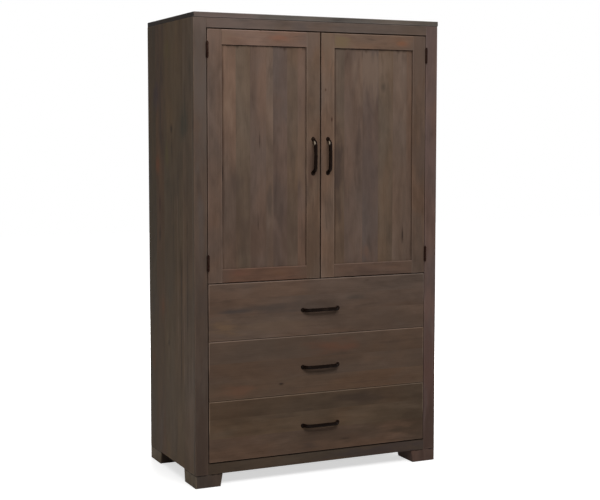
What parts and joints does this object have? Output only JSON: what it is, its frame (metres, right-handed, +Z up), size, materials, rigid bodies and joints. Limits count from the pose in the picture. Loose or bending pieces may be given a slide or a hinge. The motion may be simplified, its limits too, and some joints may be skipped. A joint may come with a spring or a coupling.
{
  "type": "armoire",
  "caption": "Free-standing stained-wood armoire with inset panel doors over full-width drawers, on tapered block feet, with bow pulls and butt hinges.",
  "frame": {"origin": "on the floor, under the middle of the whole object's box", "axes": "+Z up, doors and drawers facing -Y, +X to the right of someone facing the doors"},
  "size_m": [1.067, 0.578, 1.829],
  "materials": {
    "stained_wood": "dark grey-brown stain under a satin clear coat",
    "drawer_wood": "clear satin on pale maple",
    "drawer_plywood": "clear satin on birch plywood",
    "inner_wood": "bare sanded wood",
    "bronze": "oil-rubbed dark bronze, satin",
    "zinc_steel": "zinc plated",
    "nickel": "nickel plated"
  },
  "bodies": {
    "case": {"back_panel": "stained_wood", "bottom_panel": "stained_wood", "bottom_rail": "stained_wood", "catch_magnets": "nickel", "corner_blocks": "inner_wood", "deck": "stained_wood", "door_stop": "stained_wood", "frame_hinge_leaves": "bronze", "front_feet": "stained_wood", "hinge_pins": "bronze", "left_side_panel": "stained_wood", "left_stile": "stained_wood", "lower_shelf": "stained_wood", "rear_feet": "stained_wood", "rear_rail": "stained_wood", "right_side_panel": "stained_wood", "right_stile": "stained_wood", "shelf_pins": "nickel", "slide_case_members": "zinc_steel", "slide_spacers": "inner_wood", "top_panel": "stained_wood", "top_rail": "stained_wood", "upper_shelf": "stained_wood"},
    "left_door": {"left_door_bottom_rail": "stained_wood", "left_door_hinge_leaves": "bronze", "left_door_hinge_stile": "stained_wood", "left_door_meeting_stile": "stained_wood", "left_door_panel": "stained_wood", "left_door_pull": "bronze", "left_door_strike": "nickel", "left_door_top_rail": "stained_wood"},
    "right_door": {"right_door_bottom_rail": "stained_wood", "right_door_hinge_leaves": "bronze", "right_door_hinge_stile": "stained_wood", "right_door_meeting_stile": "stained_wood", "right_door_panel": "stained_wood", "right_door_pull": "bronze", "right_door_strike": "nickel", "right_door_top_rail": "stained_wood"},
    "top_drawer": {"top_drawer_back": "drawer_wood", "top_drawer_bottom": "drawer_plywood", "top_drawer_front": "stained_wood", "top_drawer_pull": "bronze", "top_drawer_runners": "zinc_steel", "top_drawer_sides": "drawer_wood"},
    "middle_drawer": {"middle_drawer_back": "drawer_wood", "middle_drawer_bottom": "drawer_plywood", "middle_drawer_front": "stained_wood", "middle_drawer_pull": "bronze", "middle_drawer_runners": "zinc_steel", "middle_drawer_sides": "drawer_wood"},
    "bottom_drawer": {"bottom_drawer_back": "drawer_wood", "bottom_drawer_bottom": "drawer_plywood", "bottom_drawer_front": "stained_wood", "bottom_drawer_pull": "bronze", "bottom_drawer_runners": "zinc_steel", "bottom_drawer_sides": "drawer_wood"},
    "top_slide_middle": {"top_slide_middles": "zinc_steel"},
    "middle_slide_middle": {"middle_slide_middles": "zinc_steel"},
    "bottom_slide_middle": {"bottom_slide_middles": "zinc_steel"}
  },
  "joints": [
    {"name": "left_door_swing", "type": "hinge", "parent": "case", "child": "left_door", "pos_m": [-0.479, -0.2625, 1.282], "axis": [0, 0, -1], "range_deg": [0, 170]},
    {"name": "right_door_swing", "type": "hinge", "parent": "case", "child": "right_door", "pos_m": [0.479, -0.2625, 1.282], "axis": [0, 0, 1], "range_deg": [0, 170]},
    {"name": "top_drawer_slide", "type": "slide", "parent": "case", "child": "top_drawer", "axis": [0, -1, 0], "range_m": [0, 0.43]},
    {"name": "middle_drawer_slide", "type": "slide", "parent": "case", "child": "middle_drawer", "axis": [0, -1, 0], "range_m": [0, 0.43]},
    {"name": "bottom_drawer_slide", "type": "slide", "parent": "case", "child": "bottom_drawer", "axis": [0, -1, 0], "range_m": [0, 0.43]},
    {"name": "top_middle_slide", "type": "slide", "parent": "case", "child": "top_slide_middle", "axis": [0, -1, 0], "range_m": [0, 0.215]},
    {"name": "middle_middle_slide", "type": "slide", "parent": "case", "child": "middle_slide_middle", "axis": [0, -1, 0], "range_m": [0, 0.215]},
    {"name": "bottom_middle_slide", "type": "slide", "parent": "case", "child": "bottom_slide_middle", "axis": [0, -1, 0], "range_m": [0, 0.215]}
  ],
  "couplings": [
    {"joint": "top_middle_slide", "follows": "top_drawer_slide", "ratio": 0.5},
    {"joint": "middle_middle_slide", "follows": "middle_drawer_slide", "ratio": 0.5},
    {"joint": "bottom_middle_slide", "follows": "bottom_drawer_slide", "ratio": 0.5}
  ]
}
